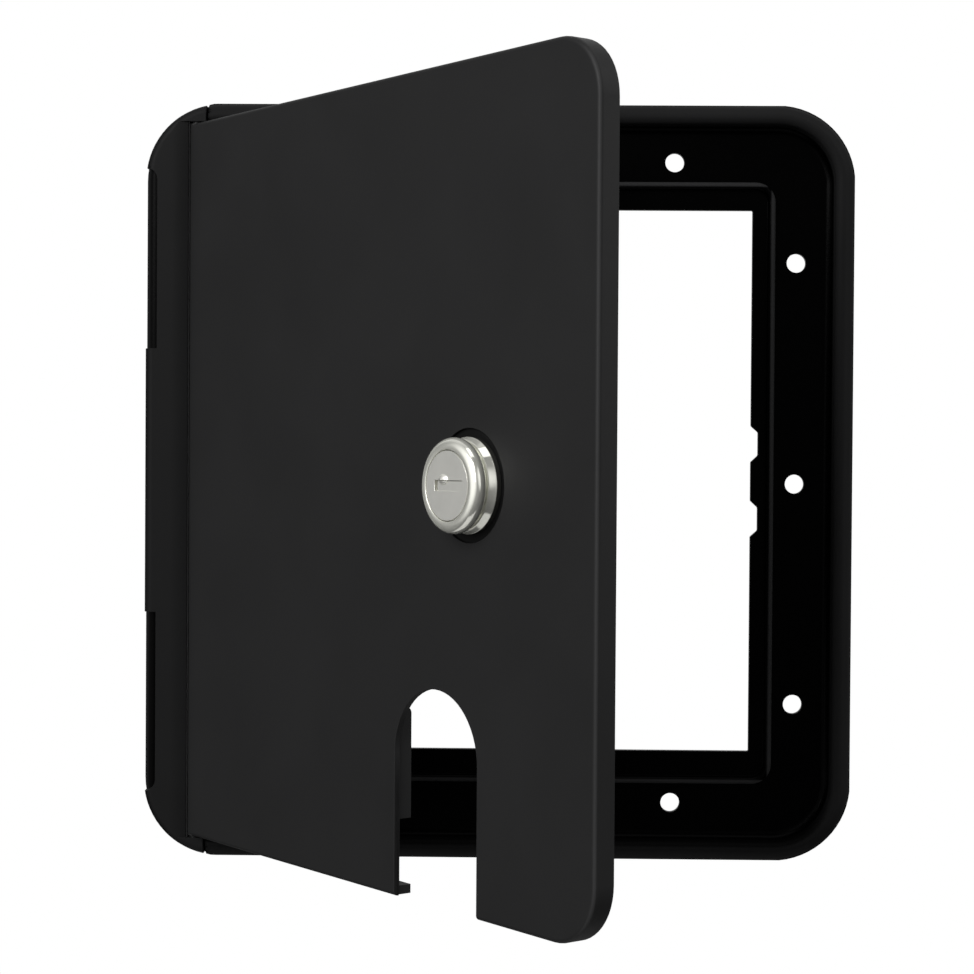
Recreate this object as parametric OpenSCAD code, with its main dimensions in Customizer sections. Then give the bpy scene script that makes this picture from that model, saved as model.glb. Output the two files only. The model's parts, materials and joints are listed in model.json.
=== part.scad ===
// Power cord hatch for a caravan or camper wall.
// A moulded frame is screwed to the wall, a hinge strip sits on its left rail,
// and a door with a cord notch and a cam lock swings on the strip.
// All sizes are millimetres. The pieces are sketched flat, seen from outside,
// with height measured from the wall, and then stood up against the wall.

/* [Frame] */
// Width of the frame over its rim
frame_w = 178.5; // [140:0.5:260]
// Height of the frame over its rim
frame_h = 190; // [150:1:280]
// Outer corner radius of the frame
frame_r = 19.5; // [14:0.5:30]
// Height of the rim's crest in front of the wall
rim_crest = 7.5; // [6:0.1:10]
// Thickness of the flat flange
floor_t = 2; // [1.5:0.1:4]
// Width of the rounded rim
rim_w = 5; // [4.5:0.1:8]
// Height of the lip around the opening, above the flange
lip_h = 2; // [1:0.1:4]

/* [Opening] */
// Width of the frame's side rails, from the outline to the opening
side_rail = 25.3; // [22:0.1:45]
// Width of the top and bottom rails, from the outline to the opening
end_rail = 26.6; // [22:0.1:45]
// How far the opening and the lock sit above the middle
middle_up = 0.6; // [0:0.1:3]

/* [Screw holes] */
// Diameter of the wall screw holes
screw_d = 4.8; // [3:0.1:6]
// Distance of the top and bottom holes from the frame's sides
row_side_inset = 45.05; // [30:0.05:80]
// Distance of the top and bottom rows from the frame's ends
row_inset = 14; // [11:0.1:20]
// Distance of the right row from the frame's side
side_inset = 14.25; // [11:0.05:20]
// Step between the three holes of a side row
side_step = 55.8; // [20:0.1:80]

/* [Door] */
// Angle at which the door stands open in the drawing
open_angle = 52.1; // [0:0.1:105]
// Height of the door's face in front of the wall
face_h = 8.5; // [7:0.1:12]
// Gap from the frame's outline to the door's free edge
door_inset = 5.9; // [5.5:0.1:9]
// Gap from the frame's outline to the door's top and bottom edges
door_end_inset = 5.6; // [5.5:0.1:9]
// Corner radius at the door's free edge
door_r = 13; // [6:0.5:20]
// Thickness of the door's skin
skin_t = 2; // [1.5:0.1:4]
// Depth of the door over its side walls
door_depth = 5; // [3:0.1:6]

/* [Cord notch] */
// Half width of the cord notch, and radius of its arch
notch_r = 15; // [6:0.5:25]
// Distance of the notch from the door's free edge
notch_inset = 53.15; // [35:0.05:80]
// Height of the arch's centre above the door's lower edge
notch_rise = 31.5; // [20:0.1:50]

/* [Lock] */
// Distance of the lock from the door's free edge
lock_inset = 41.5; // [30:0.05:60]
// Radius of the lock's base flange
bezel_r = 10.15; // [9:0.05:14]
// Radius of the turning plug's face
plug_r = 7.25; // [6:0.05:7.4]
// Overlap of the cam behind the strike tab
cam_overlap = 3.1; // [2:0.1:6]

/* [Hidden] */
$fn = 64;

eps = 0.02;
big = 400;
fit_gap = 0.05;

// Rim section: a small crest circle inside a larger outer arc
crest_r = 1.7;
shoulder_r = rim_w;
crest_rise = sqrt((shoulder_r - crest_r) * (shoulder_r - crest_r) - crest_r * crest_r);
shoulder_h = rim_crest - crest_r - crest_rise;
crest_h = rim_crest - crest_r;
tangent_in = crest_r * shoulder_r / (shoulder_r - crest_r);
tangent_up = crest_rise * shoulder_r / (shoulder_r - crest_r);
foot_r = 2.2;

// Opening and the lip around it
opening_w = frame_w - 2 * side_rail;
opening_h = frame_h - 2 * end_rail;
lip_w = 1.8;
lip_side_gap = 5.6;
lip_end_gap = 7.5;
lip_out_x = opening_w / 2 + lip_side_gap;
lip_out_z = opening_h / 2 + lip_end_gap;
lip_r = 5;

// Screw rows
row_half_x = frame_w / 2 - row_side_inset;
row_half_z = frame_h / 2 - row_inset;
side_x = frame_w / 2 - side_inset;

// Hinge: barrel tangent to the door's face, strip beside it
barrel_r = 1.6;
hinge_inset = 13.25;
axis_h = face_h - barrel_r;
axis_x = hinge_inset - frame_w / 2;
strip_gap = 0.4;
strip_right = axis_x - barrel_r - strip_gap;
strip_fall = 0.8;
strip_fall_w = 4;
strip_fall_r = (strip_fall_w * strip_fall_w + strip_fall * strip_fall) / (2 * strip_fall);
seat_h = 4;
seat_edge_r = 2.5;
cap_reach = 2.4;
cap_right = axis_x + cap_reach;
strip_inset = 0.5;
strip_edge_r = 2;
rebate_w = 3.55;
strip_left = rebate_w - frame_w / 2;
rebate_in_drop = 61.9;
rebate_out_drop = 16.7;
rebate_in = frame_h / 2 - rebate_in_drop;
rebate_out = frame_h / 2 - rebate_out_drop;
rebate_r = 3;
pin_r = 1.1;
pin_len = 2.2;
cap_gap = 0.5;
door_top = frame_h / 2 - door_end_inset;
door_edge = frame_w / 2 - door_inset;
cap_from = door_top + cap_gap;
rim_gap = 0.3;
rim_cut = cap_right + rim_gap;

// Door details
door_edge_r = 1;
wall_t = 2;
wall_gap = 3;
wall_start = axis_x + wall_gap;
notch_x = door_edge - notch_inset;
notch_drop = door_top - notch_rise;
rib_gap = 0.7;
rib_t = 2;
rib_over = 9.6;
rib_round = 1.5;
lip_skin = 1.4;
rib_clear = 1.3;
rib_foot = rib_clear + lip_w - lip_out_z;
rib_top = rib_over - notch_drop;

// Lock levels, measured from the wall with the door closed
lock_x = door_edge - lock_inset;
recess_r = 12;
recess_d = 0.8;
seat_level = face_h - recess_d;
boss_r = 14;
boss_t = 2.2;
boss_level = seat_level - boss_t;
barrel_out = 8;
barrel_flat = 13.8;
hole_gap = 0.1;
bore_r = 5;
flange_rise = 0.25;
neck_r = 8.9;
neck_rise = 2.1;
ring_r = 1.9;
ring_c = 8.1;
ring_rise = 3.9;
ring_level = face_h + ring_rise;
plug_gap = 0.2;
body_rise = 2.6;
body_top = face_h + body_rise;
body_end = 0;
plug_rise = 5.75;
plug_face = face_h + plug_rise;
plug_neck = 1;
nut_af = 20;
nut_t = 3;
cam_gap = 0.6;
cam_t = 1.8;
cam_top = -cam_gap;
cam_back = cam_top - cam_t;
cam_w = 10;
cam_hub_r = 8;
cam_reach = opening_w / 2 - lock_x + cam_overlap;
drive_w = 6;
screw_bore = 6;
screw_r = 1.8;
screw_len = 5.5;
screw_head_r = 4;
screw_head_t = 2;

// Keyway and the shutter that fills most of it
slot_w = 9.6;
slot_h = 2.2;
slot_off = 0.5;
slot_deep = 2.6;
shutter_short = 0.9;
shutter_gap = 0.15;
nib_r = 1.2;
nib_off = 3;
nib_up = 0.2;
nib_rise = 0.6;

// Strike tab at the right edge of the opening
strike_in = 4.9;
recess_in = 6.6;
recess_out = 12.4;
chamfer_out = 14;
strike_deep = 1.8;

// Stands a flat sketch up against the wall, origin on the lower screw row
module stand() {
    translate([0, 0, row_half_z]) rotate([90, 0, 0]) children();
}

// Flat outline with round corners
module round_rect(w, h, r) {
    square([w - 2 * r, h], center = true);
    square([w, h - 2 * r], center = true);
    for (x = [-1, 1], y = [-1, 1]) {
        translate([x * (w / 2 - r), y * (h / 2 - r)]) circle(r);
    }
}

// Frame's outline moved inward
module inset_outline(inset) {
    round_rect(frame_w - 2 * inset, frame_h - 2 * inset, frame_r - inset);
}

// Turns a section of inset and height so that inset runs inward from radius r
module inward(r) {
    translate([r, 0]) mirror([1, 0]) children();
}

// Sweeps a section around a round-cornered rectangle
module sweep_round(w, h, r) {
    for (k = [0:3]) {
        a = (k % 2 == 0) ? w : h;
        b = (k % 2 == 0) ? h : w;
        rotate([0, 0, 90 * k]) translate([a / 2 - r, b / 2 - r, 0]) {
            rotate_extrude(angle = 90) inward(r) children();
            rotate([90, 0, 0]) linear_extrude(b - 2 * r) inward(r) children();
        }
    }
}

// Round bar along y, centred on a point of the section
module bar_along_y(x, h, r, half) {
    translate([x, half, h]) rotate([90, 0, 0]) cylinder(h = 2 * half, r = r);
}

// Slab with round corners and a rounded front edge
module round_slab(w, h, r, low, high, edge) {
    translate([0, 0, low]) linear_extrude(high - low) round_rect(w - 2 * edge, h - 2 * edge, r - edge);
    sweep_round(w, h, r) {
        translate([0, low]) square([edge + eps, high - edge - low]);
        intersection() {
            translate([edge, high - edge]) circle(edge);
            translate([0, high - edge]) square([edge + eps, edge]);
        }
    }
}

// Section of the rim, inset to the right and height upward
module rim_section() {
    square([rim_w, shoulder_h]);
    intersection() {
        translate([rim_w, shoulder_h]) circle(shoulder_r);
        polygon([
            [rim_w, shoulder_h],
            [rim_w - 2 * shoulder_r, shoulder_h],
            [rim_w - 2 * tangent_in, shoulder_h + 2 * tangent_up]
        ]);
    }
    translate([rim_w - crest_r, crest_h]) circle(crest_r);
    polygon([
        [rim_w, shoulder_h],
        [rim_w, crest_h],
        [rim_w - crest_r, crest_h],
        [rim_w - tangent_in, shoulder_h + tangent_up]
    ]);
    difference() {
        square([rim_w + foot_r, floor_t + foot_r]);
        translate([rim_w + foot_r, floor_t + foot_r]) circle(foot_r);
    }
}

// Section of the lip around the opening
module lip_section() {
    translate([0, floor_t / 2]) square([lip_w, floor_t / 2 + lip_h - lip_w / 2]);
    translate([lip_w / 2, floor_t + lip_h - lip_w / 2]) circle(lip_w / 2);
}

// Section of the seat's rounded outer edge
module seat_section() {
    square([seat_edge_r + eps, seat_h - seat_edge_r]);
    intersection() {
        translate([seat_edge_r, seat_h - seat_edge_r]) circle(seat_edge_r);
        square([seat_edge_r + eps, seat_h]);
    }
}

// Opening with the strike tab and its two recesses at the right edge
module opening_outline() {
    translate([0, middle_up]) {
        square([opening_w, opening_h], center = true);
        for (y = [-1, 1]) {
            polygon([
                [opening_w / 2 - 1, y * strike_in],
                [opening_w / 2, y * strike_in],
                [opening_w / 2 + strike_deep, y * recess_in],
                [opening_w / 2 + strike_deep, y * recess_out],
                [opening_w / 2, y * chamfer_out],
                [opening_w / 2 - 1, y * chamfer_out]
            ]);
        }
    }
}

// Wall screw holes: top row, bottom row, right row, and the row under the strip
module screw_holes() {
    for (x = [-1, 1], y = [-1, 1]) {
        translate([x * row_half_x, y * row_half_z]) circle(screw_d / 2);
    }
    for (k = [-1:1]) {
        translate([side_x, k * side_step]) circle(screw_d / 2);
        translate([(strip_left + strip_right) / 2, k * side_step]) circle(screw_d / 2);
    }
}

module frame() {
    color("#0c0c0d") stand() difference() {
        union() {
            linear_extrude(floor_t) inset_outline(rim_w / 2);
            difference() {
                sweep_round(frame_w, frame_h, frame_r) rim_section();
                translate([rim_cut - big, -big / 2, -eps]) cube([big, big, big]);
            }
            intersection() {
                union() {
                    sweep_round(frame_w, frame_h, frame_r) seat_section();
                    linear_extrude(seat_h) inset_outline(seat_edge_r);
                }
                translate([cap_right - big, -big / 2, 0]) cube([big, big, big]);
            }
            sweep_round(2 * lip_out_x, 2 * lip_out_z, lip_r) lip_section();
        }
        translate([0, 0, -eps]) linear_extrude(big) opening_outline();
        translate([0, 0, -eps]) linear_extrude(big) screw_holes();
    }
}

// Rebate beside the strip, where the frame's own edge shows
module rebate() {
    translate([strip_left - big, rebate_in]) square([big, rebate_out - rebate_in - rebate_r]);
    translate([strip_left - big, rebate_in]) square([big - rebate_r, rebate_out - rebate_in]);
    translate([strip_left - rebate_r, rebate_out - rebate_r]) circle(rebate_r);
}

// Slab that the strip is cut from, rounded at the frame's outline
module strip_slab() {
    w = frame_w - 2 * strip_inset;
    h = frame_h - 2 * strip_inset;
    round_slab(w, h, frame_r - strip_inset, seat_h, face_h, strip_edge_r);
}

module hinge_strip() {
    fall_x = strip_right - strip_fall_w;
    color("#1c1c1e") stand() difference() {
        strip_slab();
        translate([cap_right, -big / 2, 0]) cube([big, big, big]);
        translate([strip_right, -cap_from, 0]) cube([big, 2 * cap_from, big]);
        translate([fall_x, cap_from, face_h - strip_fall_r]) rotate([90, 0, 0])
            linear_extrude(2 * cap_from) difference() {
                square([big, big]);
                circle(strip_fall_r);
            }
        for (m = [0, 1]) {
            mirror([0, m, 0]) linear_extrude(big) rebate();
        }
        bar_along_y(axis_x, axis_h, pin_r + fit_gap, cap_from + pin_len);
    }
}

// Swings the closed door about the hinge to the angle it stands at
module swing() {
    translate([axis_x, 0, axis_h]) rotate([0, -open_angle, 0]) translate([-axis_x, 0, -axis_h]) children();
}

// Arch-topped notch, open at the bottom, with its edge moved out by grow
module notch(grow, bottom) {
    translate([notch_x, -notch_drop]) circle(notch_r + grow);
    translate([notch_x - notch_r - grow, bottom]) square([2 * (notch_r + grow), -notch_drop - bottom]);
}

// Hole and barrel outline with two flats
module flat_sided(r, flats) {
    intersection() {
        circle(r);
        square([2 * r + 1, flats], center = true);
    }
}

// Pocket behind the skin, square at the hinge side
module door_pocket() {
    inner_r = door_r - wall_t;
    w = door_edge - wall_start - 2 * wall_t;
    h = 2 * (door_top - wall_t);
    difference() {
        translate([wall_start + wall_t, -h / 2]) square([w, h]);
        for (y = [-1, 1]) {
            translate([door_edge - wall_t - inner_r, y * (door_top - wall_t - inner_r)]) difference() {
                translate([0, (y - 1) / 2 * (inner_r + 1)]) square([inner_r + 1, inner_r + 1]);
                circle(inner_r);
            }
        }
    }
}

// Stiffening rib at each side of the notch, with a rounded inner end
module notch_ribs() {
    rib_h = door_depth - skin_t / 2;
    rib_len = rib_top - rib_foot;
    for (side = [-1, 1]) {
        rib_x = notch_x + side * (notch_r + rib_gap + rib_t / 2);
        translate([rib_x - rib_t / 2, rib_foot, face_h - door_depth + rib_round]) {
            cube([rib_t, rib_len, rib_h - rib_round]);
            translate([0, 0, -rib_round]) cube([rib_t, rib_len - rib_round, rib_h]);
            translate([0, rib_len - rib_round, 0]) rotate([0, 90, 0]) cylinder(h = rib_t, r = rib_round);
        }
    }
}

// Skin, side walls and the pocket behind them
module door_shell() {
    span = door_edge - axis_x + 2 * door_r;
    difference() {
        translate([door_edge - span / 2, 0, 0])
            round_slab(span, 2 * door_top, door_r, face_h - door_depth, face_h, door_edge_r);
        translate([axis_x - big, -big / 2, 0]) cube([big, big, big]);
        translate([wall_start - big, -big / 2, 0]) cube([big, big, face_h - skin_t]);
        translate([0, 0, -1]) linear_extrude(face_h - skin_t + 1) door_pocket();
    }
}

module door_panel() {
    color("#202022") stand() swing() difference() {
        union() {
            door_shell();
            bar_along_y(axis_x, axis_h, barrel_r, door_top);
            bar_along_y(axis_x, axis_h, pin_r, door_top + pin_len);
            notch_ribs();
            translate([lock_x, middle_up, boss_level])
                cylinder(h = face_h - skin_t / 2 - boss_level, r = boss_r);
        }
        translate([0, 0, -1]) linear_extrude(big) notch(0, -big / 2);
        translate([0, 0, -1]) linear_extrude(face_h - lip_skin + 1) notch(rib_gap, -big / 2);
        translate([lock_x, middle_up, seat_level]) cylinder(h = big, r = recess_r);
        translate([lock_x, middle_up, -1]) linear_extrude(big) {
            flat_sided(barrel_out + hole_gap, barrel_flat + 2 * hole_gap);
        }
    }
}

// Moves a lock piece from the lock's own centre to its place in the swung door
module in_lock() {
    stand() swing() translate([lock_x, middle_up, 0]) children();
}

module lock_bezel() {
    color("#c9c8c4") in_lock() rotate_extrude() difference() {
        union() {
            translate([0, seat_level]) square([bezel_r, recess_d + flange_rise]);
            polygon([
                [0, face_h],
                [bezel_r, face_h + flange_rise],
                [neck_r, face_h + neck_rise],
                [0, face_h + neck_rise]
            ]);
            translate([0, seat_level]) square([neck_r, recess_d + ring_rise]);
            translate([0, ring_level]) square([ring_c, ring_r]);
            translate([ring_c, ring_level]) circle(ring_r);
        }
        translate([-1, seat_level - 1]) square([barrel_out + fit_gap + 1, body_top - seat_level + 1]);
        translate([-1, seat_level]) square([plug_r + plug_gap + 1, big]);
    }
}

module lock_body() {
    color("#a9a8a4") in_lock() difference() {
        union() {
            translate([0, 0, body_end]) linear_extrude(seat_level - body_end)
                flat_sided(barrel_out, barrel_flat);
            translate([0, 0, seat_level]) cylinder(h = body_top - seat_level, r = barrel_out);
        }
        translate([0, 0, body_end - 1]) cylinder(h = big, r = bore_r + fit_gap);
    }
}

module lock_nut() {
    color("#a9a8a4") in_lock() translate([0, 0, boss_level - nut_t]) linear_extrude(nut_t) difference() {
        intersection_for(k = [0:2]) {
            rotate(60 * k) square([nut_af, 2 * nut_af], center = true);
        }
        circle(barrel_out + fit_gap);
    }
}

// Small raised nib at the upper edge of the keyway
module nib() {
    nib_x = slot_off - slot_w / 2 + nib_off;
    translate([nib_x, slot_h / 2 + nib_up, plug_face + nib_rise - nib_r]) sphere(nib_r);
}

module lock_plug() {
    color("#bdbcb8") in_lock() difference() {
        union() {
            translate([0, 0, body_top + fit_gap]) cylinder(h = plug_face - body_top - fit_gap, r = plug_r);
            translate([0, 0, cam_top]) cylinder(h = plug_face - cam_top - plug_neck, r = bore_r);
            translate([0, 0, cam_back + fit_gap]) linear_extrude(cam_t) square(drive_w, center = true);
            nib();
        }
        translate([slot_off, 0, plug_face - slot_deep]) linear_extrude(big)
            square([slot_w, slot_h], center = true);
        translate([0, 0, cam_back - 1]) cylinder(h = screw_bore, r = screw_r + fit_gap);
    }
}

module keyway_shutter() {
    leaf_w = slot_w - shutter_short;
    leaf_h = slot_h - shutter_gap;
    slot_left = slot_off - slot_w / 2;
    color("#8f8e8a") in_lock() {
        translate([slot_left + shutter_short, -slot_h / 2, plug_face - slot_deep])
            cube([leaf_w, leaf_h, slot_deep - shutter_gap]);
        intersection() {
            nib();
            translate([slot_left + shutter_short, -slot_h / 2, plug_face - slot_deep])
                cube([leaf_w, leaf_h, slot_deep + nib_r]);
        }
    }
}

module lock_cam() {
    color("#a9a8a4") in_lock() translate([0, 0, cam_back]) linear_extrude(cam_t) difference() {
        union() {
            circle(cam_hub_r);
            translate([-cam_w / 2, -cam_reach + cam_w / 2]) square([cam_w, cam_reach - cam_w / 2]);
            translate([0, -cam_reach + cam_w / 2]) circle(cam_w / 2);
        }
        square(drive_w + 2 * fit_gap, center = true);
    }
}

module cam_screw() {
    color("#9a9995") in_lock() {
        translate([0, 0, cam_back - screw_head_t]) cylinder(h = screw_head_t, r = screw_head_r);
        translate([0, 0, cam_back - screw_head_t / 2]) cylinder(h = screw_len, r = screw_r);
    }
}

frame();
hinge_strip();
door_panel();
lock_bezel();
lock_body();
lock_nut();
lock_plug();
keyway_shutter();
lock_cam();
cam_screw();
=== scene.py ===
"""Power cord hatch: finishes, fine pieces, studio and camera for the wall hatch."""
import json
import math

import bmesh
import bpy
from bpy.props import FloatProperty, FloatVectorProperty, IntProperty, PointerProperty
from mathutils import Matrix, Vector
from mathutils.bvhtree import BVHTree


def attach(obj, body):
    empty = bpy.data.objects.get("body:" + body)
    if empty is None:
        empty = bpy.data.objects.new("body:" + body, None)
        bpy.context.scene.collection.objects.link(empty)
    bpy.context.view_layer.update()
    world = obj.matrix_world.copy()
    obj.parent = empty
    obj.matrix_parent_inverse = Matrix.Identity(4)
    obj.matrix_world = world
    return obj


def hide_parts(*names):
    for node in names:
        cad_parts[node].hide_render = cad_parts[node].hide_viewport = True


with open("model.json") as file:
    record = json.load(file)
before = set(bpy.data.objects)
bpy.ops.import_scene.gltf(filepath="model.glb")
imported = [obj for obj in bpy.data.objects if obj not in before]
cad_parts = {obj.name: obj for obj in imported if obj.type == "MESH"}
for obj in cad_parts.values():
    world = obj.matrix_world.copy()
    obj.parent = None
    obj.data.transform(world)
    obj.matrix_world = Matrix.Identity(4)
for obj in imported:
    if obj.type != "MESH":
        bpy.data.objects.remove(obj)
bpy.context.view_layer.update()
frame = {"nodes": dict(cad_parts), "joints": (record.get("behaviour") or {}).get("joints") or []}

bl_info = {
    "name": "Power Cord Hatch",
    "version": (1, 0, 0),
    "blender": (4, 5, 0),
    "location": "3D View > Sidebar > Cord Hatch",
    "description": "Finishes, fine pieces and studio for a caravan's power cord hatch",
    "category": "Object",
}

MM = 0.001
NODES = frame["nodes"]
JOINTS = {joint["name"]: joint for joint in frame["joints"]}


# Settings


class HatchSizes(bpy.types.PropertyGroup):
    """Sizes of the fine detail that is added to the solids."""

    frame_edge: FloatProperty(
        name="Frame edges", description="Rounding of the frame's moulded edges",
        subtype="DISTANCE", default=0.25 * MM, min=0.02 * MM, max=0.4 * MM)
    door_edge: FloatProperty(
        name="Door edges", description="Rounding of the door's and the strip's moulded edges",
        subtype="DISTANCE", default=0.08 * MM, min=0.02 * MM, max=0.4 * MM)
    lock_edge: FloatProperty(
        name="Lock edges", description="Rounding of the plug's and the keyway's edges",
        subtype="DISTANCE", default=0.07 * MM, min=0.01 * MM, max=0.1 * MM)
    cam_edge: FloatProperty(
        name="Cam edges", description="Rounding of the stamped cam's edges",
        subtype="DISTANCE", default=0.25 * MM, min=0.02 * MM, max=0.5 * MM)
    thread_pitch: FloatProperty(
        name="Thread pitch", description="Pitch of the thread on the lock's barrel",
        subtype="DISTANCE", default=1.0 * MM, min=0.5 * MM, max=2.0 * MM)
    thread_depth: FloatProperty(
        name="Thread depth", description="Depth of the thread on the lock's barrel",
        subtype="DISTANCE", default=0.5 * MM, min=0.1 * MM, max=1.0 * MM)
    turned_steps: IntProperty(
        name="Turned steps", description="Steps round the turned pieces",
        default=192, min=48, max=512)


class HatchFinish(bpy.types.PropertyGroup):
    """Colours and surface finish of the hatch's materials."""

    frame_colour: FloatVectorProperty(
        name="Frame colour", description="Colour of the frame's plastic",
        subtype="COLOR", size=3, default=(0.0001, 0.0001, 0.00012), min=0.0, max=1.0)
    # Painted light: the rim and flanks are painted paler than the black flange, standing in for light that
    # falls on them
    rim_lit_colour: FloatVectorProperty(
        name="Rim colour", description="Colour of the frame's raised rim, which is grained like the door",
        subtype="COLOR", size=3, default=(0.0105, 0.0105, 0.0107), min=0.0, max=1.0)
    frame_rough: FloatProperty(
        name="Frame roughness", description="Roughness of the frame's plastic",
        subtype="FACTOR", default=0.30, min=0.0, max=1.0)
    frame_gloss: FloatProperty(
        name="Frame gloss", description="Level of the frame's reflections",
        subtype="FACTOR", default=0.03, min=0.0, max=1.0)
    rim_rough: FloatProperty(
        name="Rim roughness", description="Roughness of the frame's grained rim",
        subtype="FACTOR", default=0.55, min=0.0, max=1.0)
    # Painted highlight along the lip's rounded edge
    lip_highlight: FloatProperty(
        name="Lip tone", description="How much paler the lip's rounded edge is than the rim",
        default=2.0, min=1.0, max=4.0)
    # Above this height the frame's plastic is rougher and painted paler, as painted light
    flange_top: FloatProperty(
        name="Flange top", description="Height above which the frame's plastic may be grained",
        subtype="DISTANCE", default=2.1 * MM, min=0.0, max=10.0 * MM)
    rim_from: FloatProperty(
        name="Rim from", description="Height above which only the rim reaches",
        subtype="DISTANCE", default=5.0 * MM, min=0.0, max=10.0 * MM)
    door_colour: FloatVectorProperty(
        name="Door colour", description="Colour of the door's and the strip's plastic",
        subtype="COLOR", size=3, default=(0.0132, 0.0132, 0.0134), min=0.0, max=1.0)
    door_rough: FloatProperty(
        name="Door roughness", description="Roughness of the door's plastic",
        subtype="FACTOR", default=0.5, min=0.0, max=1.0)
    door_gloss: FloatProperty(
        name="Door gloss", description="Level of the door's reflections",
        subtype="FACTOR", default=0.13, min=0.0, max=1.0)
    # Painted highlight along the door's rounded free edge
    door_edge_highlight: FloatProperty(
        name="Door edge tone", description="How much paler the door's rounded edges are than its faces",
        default=2.0, min=1.0, max=4.0)
    # Painted shade in the lock's recess round the bezel
    recess_dark: FloatProperty(
        name="Recess shade", description="How much darker the lock's recess is than the door",
        subtype="FACTOR", default=0.8, min=0.0, max=1.0)
    # Painted light on the strip's wall in the crease, standing in for light that the narrow crease shuts
    # out
    crease_painted_light: FloatProperty(
        name="Crease dust", description="How much paler dust makes the strip's wall in the crease",
        default=14.0, min=0.0, max=40.0)
    # Painted shade: the strip is the door's plastic, painted darker
    strip_shade: FloatProperty(
        name="Strip tone", description="Tone of the strip as a share of the door's",
        default=0.74, min=0.0, max=2.0)
    # Painted shade on the strip's outer, left-facing side
    strip_side_shade: FloatProperty(
        name="Strip side tone", description="Tone of the strip's outer side as a share of its face's",
        default=0.5, min=0.0, max=2.0)
    strip_gloss: FloatProperty(
        name="Strip gloss", description="Level of the strip's reflections",
        subtype="FACTOR", default=0.05, min=0.0, max=1.0)
    grain: FloatProperty(
        name="Mould grain", description="Depth of the fine grain in the plastic",
        subtype="DISTANCE", default=0.012 * MM, min=0.0, max=0.1 * MM)
    bezel_colour: FloatVectorProperty(
        name="Bezel colour", description="Colour of the lock's bright bezel",
        subtype="COLOR", size=3, default=(0.92, 0.92, 0.84), min=0.0, max=1.0)
    plug_colour: FloatVectorProperty(
        name="Plug colour", description="Colour of the lock's satin face",
        subtype="COLOR", size=3, default=(0.90, 0.895, 0.84), min=0.0, max=1.0)
    zinc_colour: FloatVectorProperty(
        name="Zinc colour", description="Colour of the lock's plated parts behind the door",
        subtype="COLOR", size=3, default=(0.50, 0.50, 0.48), min=0.0, max=1.0)


class HatchStage(bpy.types.PropertyGroup):
    """Studio lights, floor and camera."""

    left_power: FloatProperty(
        name="Left light", description="Power of the soft light at the upper left",
        unit="POWER", default=6.8, min=0.0)
    right_power: FloatProperty(
        name="Right light", description="Power of the soft light at the right",
        unit="POWER", default=3.0, min=0.0)
    top_power: FloatProperty(
        name="Top light", description="Power of the soft light above",
        unit="POWER", default=1.5, min=0.0)
    floor_drop: FloatProperty(
        name="Floor drop", description="How far the floor lies below the hatch's lower screws",
        subtype="DISTANCE", default=0.85, min=0.05, max=2.0)
    floor_half: FloatProperty(
        name="Floor size", description="Half the width of the floor",
        subtype="DISTANCE", default=0.6, min=0.2, max=5.0)
    floor_colour: FloatVectorProperty(
        name="Floor colour", description="Colour of the pale floor",
        subtype="COLOR", size=3, default=(0.78, 0.78, 0.78), min=0.0, max=1.0)
    lens: FloatProperty(
        name="Lens", description="Focal length of the camera on a 36 mm sensor",
        default=79.826, min=10.0, max=300.0)


# Tolerances of the work on meshes

WELD = 0.001 * MM
NEAR = 0.02 * MM
FLAT = math.radians(0.5)
SHARP = math.radians(38.0)
EDGE_STEPS = 3
# Rounding of the keyway's shutter as a share of the plug's
SHUTTER_SHARE = 0.7
# Share of the rounding's radius past which a rounded point has gone astray
SPIKE = 0.75
# How far round a stray point, in radii, the edges lose their rounding
STRAY_REACH = 2.0
BEVEL_TRIES = 5


# Places on the solids, in the hatch's own axes

UP = (0.0, 0.0, 1.0)
INWARD = (0.0, 1.0, 0.0)
RIGHT = (1.0, 0.0, 0.0)
LEFT = (-1.0, 0.0, 0.0)
HATCH_MIDDLE = 81.0 * MM
LIP_CREST = (68.65 * MM, 75.0 * MM)
# The strip's face, its fall toward the door, and its wall in the crease
STRIP_EDGE = -78.0 * MM
STRIP_HALF = 89.95 * MM
FACE_LEVEL = -8.5 * MM
FALL_START = -82.2 * MM
FALL_DEPTH = 0.84 * MM
FALL_SHARE = 0.7
# Levels of the wall, and how far each leans toward the door's round back, in millimetres
WALL_LEAN = ((-7.6, 0.10), (-7.4, 0.15), (-6.9, 0.28), (-6.7, 0.335), (-6.5, 0.0))
# The thin slit in the flange beside the strip's seat, and the share of it that stays open
SLIT_LEFT = -73.6 * MM
SLIT_WIDTH = 0.3 * MM
SLIT_FOOT = 92.0 * MM
SLIT_FRONT = -2.1 * MM
SLIT_SHARE = 0.03


# Lengths of the lock that no box gives, in millimetres

FIT_GAP = 0.05
BARREL_RADIUS = 8.0
BARREL_FLATS = 13.8
BARREL_BORE = 5.05
PLUG_RADIUS = 7.25
PLUG_GAP = 0.2
RECESS_RADIUS = 12.0
SMALL_EDGE = 0.12
RING_RADIUS = 1.9
RING_CENTRE = 8.1
# Heights of the bezel's neck and of its skirt's rounding are from the door's face
NECK_RADIUS = 9.65
NECK_HEIGHT = 2.1
NECK_FLARE = 0.1
SKIRT_TURN = 0.35
SKIRT_EDGE = 0.25
NUT_BORE_EDGE = 0.3
HEAD_HEIGHT = 2.0
HEAD_EDGE = 0.15
DOME_HEIGHT = 1.1
SHANK_RADIUS = 1.8
CROSS_DEPTH = 1.5
CROSS_HALF = 0.42
CROSS_REACH = 2.5
CROSS_FOOT = 1.1
NIB_ACROSS = -1.3
NIB_UP = 1.3
NIB_REACH = 1.1


# Shares, slopes, steps and degrees of the lock's pieces

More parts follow.
